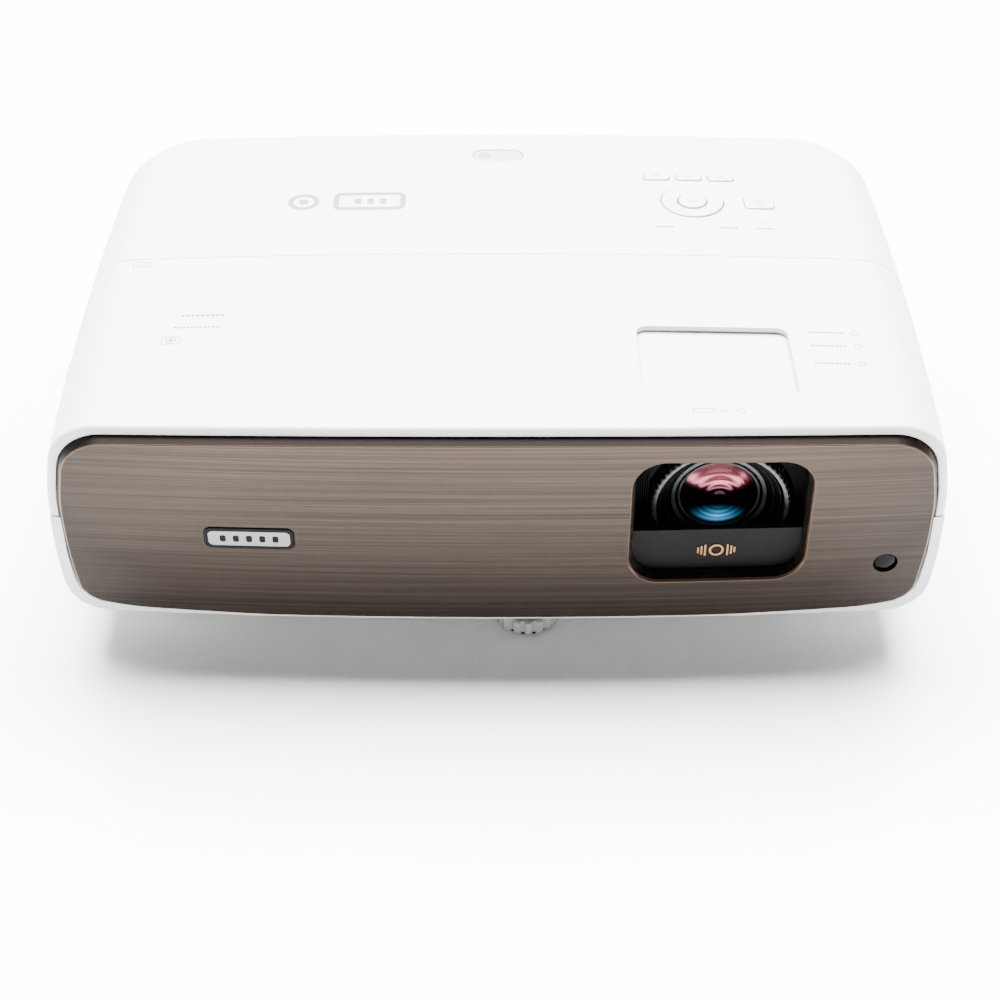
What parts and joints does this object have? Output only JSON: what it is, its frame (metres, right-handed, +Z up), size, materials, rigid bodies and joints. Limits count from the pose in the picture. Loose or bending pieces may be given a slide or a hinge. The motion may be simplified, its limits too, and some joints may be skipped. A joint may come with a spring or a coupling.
{
  "type": "home projector",
  "caption": "Wide white home projector with a curved brushed bronze front, zoom lens in a window, sliding access door, keypad and screw feet.",
  "frame": {"origin": "on the floor under the middle of the casing, feet as they stand", "axes": "+X across the width to the right as seen from in front of the lens, +Y from the front panel to the rear sockets, +Z up"},
  "size_m": [0.3798, 0.2626, 0.13],
  "materials": {
    "white_shell": "fine satin moulded white",
    "white_keys": "smooth satin white",
    "white_feet": "moulded white",
    "foot_rubber": "dull black rubber",
    "bronze_panel": "bronze with long horizontal brush lines",
    "chrome_plate": "satin chrome",
    "gold_mark": "satin gold",
    "black_window": "polished black",
    "shroud_black": "dead matte black",
    "lens_black": "fine textured black",
    "lens_glass": "coated glass, pink and blue reflections",
    "dark_plastic": "textured charcoal",
    "steel_parts": "plated steel",
    "green_board": "green solder mask",
    "clear_parts": "clear moulded",
    "pale_window": "polished pale window",
    "cast_alloy": "cast alloy"
  },
  "bodies": {
    "chassis": {"front_top_cover": "white_shell", "rear_top_cover": "white_shell", "bottom_case": "white_shell", "side_grille_right": "white_shell", "side_grille_left": "white_shell", "front_panel": "bronze_panel", "nameplate": "chrome_plate", "shroud_emblem": "gold_mark", "front_receiver_window": "black_window", "lens_shroud": "shroud_black", "rear_panel": "dark_plastic", "speaker_left": "dark_plastic", "speaker_right": "dark_plastic", "exhaust_fan_frame": "dark_plastic", "intake_fan_frame": "dark_plastic", "lamp_module": "dark_plastic", "mains_inlet": "dark_plastic", "optical_port": "dark_plastic", "audio_jack": "dark_plastic", "trigger_jack": "dark_plastic", "lens_mount": "steel_parts", "hdmi_port_1": "steel_parts", "hdmi_port_2": "steel_parts", "usb_port_1": "steel_parts", "usb_port_2": "steel_parts", "serial_port": "steel_parts", "lamp_ballast": "steel_parts", "wheel_motor": "steel_parts", "keypad_board": "green_board", "main_board": "green_board", "power_supply": "green_board", "status_light_pipe": "clear_parts", "top_receiver_window": "pale_window", "optical_engine": "cast_alloy", "chip_heat_sink": "cast_alloy"},
    "access_door": {"access_door": "white_shell"},
    "lamp_door": {"lamp_door": "white_shell"},
    "lens_carriage": {"lens_carriage": "dark_plastic", "lens_barrel": "lens_black", "front_glass": "lens_glass"},
    "focus_ring": {"focus_ring": "lens_black"},
    "zoom_ring": {"zoom_ring": "lens_black"},
    "shift_dial": {"lens_shift_dial": "dark_plastic"},
    "source_key": {"source_key": "white_keys"},
    "menu_key": {"menu_key": "white_keys"},
    "back_key": {"back_key": "white_keys"},
    "power_key": {"power_key": "white_keys"},
    "ok_key": {"ok_key": "white_keys"},
    "navigation_cushion": {"navigation_cushion": "foot_rubber"},
    "navigation_ring": {"navigation_ring": "white_keys"},
    "front_foot": {"front_foot_pad": "foot_rubber"},
    "front_foot_wheel": {"front_foot_wheel": "white_feet"},
    "rear_foot_left": {"rear_foot_left_pad": "foot_rubber"},
    "rear_foot_left_wheel": {"rear_foot_left_wheel": "white_feet"},
    "rear_foot_right": {"rear_foot_right_pad": "foot_rubber"},
    "rear_foot_right_wheel": {"rear_foot_right_wheel": "white_feet"},
    "exhaust_rotor": {"exhaust_fan_rotor": "dark_plastic"},
    "intake_rotor": {"intake_fan_rotor": "dark_plastic"},
    "colour_wheel": {"colour_wheel": "clear_parts"}
  },
  "joints": [
    {"name": "access_door_slide", "type": "slide", "parent": "chassis", "child": "access_door", "axis": [0, 1, 0], "range_m": [0, 0.046]},
    {"name": "lamp_door_slide", "type": "slide", "parent": "chassis", "child": "lamp_door", "axis": [-1, 0, 0], "range_m": [0, 0.04]},
    {"name": "shift_dial_turn", "type": "hinge", "parent": "chassis", "child": "shift_dial", "pos_m": [0.118, -0.062, 0.115], "axis": [0, 0, 1], "range_deg": [-271, 271]},
    {"name": "lens_shift", "type": "slide", "parent": "chassis", "child": "lens_carriage", "axis": [0, 0, 1], "range_m": [-0.0025, 0.0025]},
    {"name": "focus_turn", "type": "hinge", "parent": "lens_carriage", "child": "focus_ring", "pos_m": [0.095, -0.1, 0.071], "axis": [0, 1, 0], "range_deg": [-45, 45]},
    {"name": "zoom_turn", "type": "hinge", "parent": "lens_carriage", "child": "zoom_ring", "pos_m": [0.095, -0.1, 0.071], "axis": [0, 1, 0], "range_deg": [-20, 20]},
    {"name": "source_key_press", "type": "slide", "parent": "chassis", "child": "source_key", "axis": [0, 0, -1], "range_m": [0, 0.0008], "stiffness_N_per_m": 900, "springref_m": -0.0004},
    {"name": "menu_key_press", "type": "slide", "parent": "chassis", "child": "menu_key", "axis": [0, 0, -1], "range_m": [0, 0.0008], "stiffness_N_per_m": 900, "springref_m": -0.0004},
    {"name": "back_key_press", "type": "slide", "parent": "chassis", "child": "back_key", "axis": [0, 0, -1], "range_m": [0, 0.0008], "stiffness_N_per_m": 900, "springref_m": -0.0004},
    {"name": "power_key_press", "type": "slide", "parent": "chassis", "child": "power_key", "axis": [0, 0, -1], "range_m": [0, 0.0008], "stiffness_N_per_m": 900, "springref_m": -0.0004},
    {"name": "ok_key_press", "type": "slide", "parent": "chassis", "child": "ok_key", "axis": [0, 0, -1], "range_m": [0, 0.0008], "stiffness_N_per_m": 900, "springref_m": -0.0004},
    {"name": "navigation_tilt_x", "type": "hinge", "parent": "chassis", "child": "navigation_cushion", "pos_m": [0.0918, 0.0537, 0.1195], "axis": [1, 0, 0], "range_deg": [-1.5, 1.5], "stiffness_Nm_per_rad": 1.5},
    {"name": "navigation_tilt_y", "type": "hinge", "parent": "navigation_cushion", "child": "navigation_ring", "pos_m": [0.0918, 0.0537, 0.1195], "axis": [0, 1, 0], "range_deg": [-1.5, 1.5], "stiffness_Nm_per_rad": 1.5},
    {"name": "front_foot_lift", "type": "slide", "parent": "chassis", "child": "front_foot", "axis": [0, 0, -1], "range_m": [-0.003, 0.009]},
    {"name": "front_foot_screw", "type": "hinge", "parent": "front_foot", "child": "front_foot_wheel", "pos_m": [0.0132, -0.0948, 0.005], "axis": [0, 0, 1], "range_deg": [-541, 1621]},
    {"name": "rear_foot_left_lift", "type": "slide", "parent": "chassis", "child": "rear_foot_left", "axis": [0, 0, -1], "range_m": [-0.003, 0.009]},
    {"name": "rear_foot_left_screw", "type": "hinge", "parent": "rear_foot_left", "child": "rear_foot_left_wheel", "pos_m": [-0.138, 0.092, 0.005], "axis": [0, 0, 1], "range_deg": [-541, 1621]},
    {"name": "rear_foot_right_lift", "type": "slide", "parent": "chassis", "child": "rear_foot_right", "axis": [0, 0, -1], "range_m": [-0.003, 0.009]},
    {"name": "rear_foot_right_screw", "type": "hinge", "parent": "rear_foot_right", "child": "rear_foot_right_wheel", "pos_m": [0.138, 0.092, 0.005], "axis": [0, 0, 1], "range_deg": [-541, 1621]},
    {"name": "exhaust_spin", "type": "hinge", "parent": "chassis", "child": "exhaust_rotor", "pos_m": [-0.164, 0.058, 0.075], "axis": [1, 0, 0], "continuous": true},
    {"name": "intake_spin", "type": "hinge", "parent": "chassis", "child": "intake_rotor", "pos_m": [0.164, 0.04, 0.075], "axis": [1, 0, 0], "continuous": true},
    {"name": "colour_wheel_spin", "type": "hinge", "parent": "chassis", "child": "colour_wheel", "pos_m": [-0.082, -0.029, 0.066], "axis": [1, 0, 0], "continuous": true}
  ],
  "couplings": [
    {"joint": "shift_dial_turn", "follows": "lens_shift", "rad_per_m": 1885},
    {"joint": "front_foot_screw", "follows": "front_foot_lift", "rad_per_m": 3141.6},
    {"joint": "rear_foot_left_screw", "follows": "rear_foot_left_lift", "rad_per_m": 3141.6},
    {"joint": "rear_foot_right_screw", "follows": "rear_foot_right_lift", "rad_per_m": 3141.6}
  ]
}
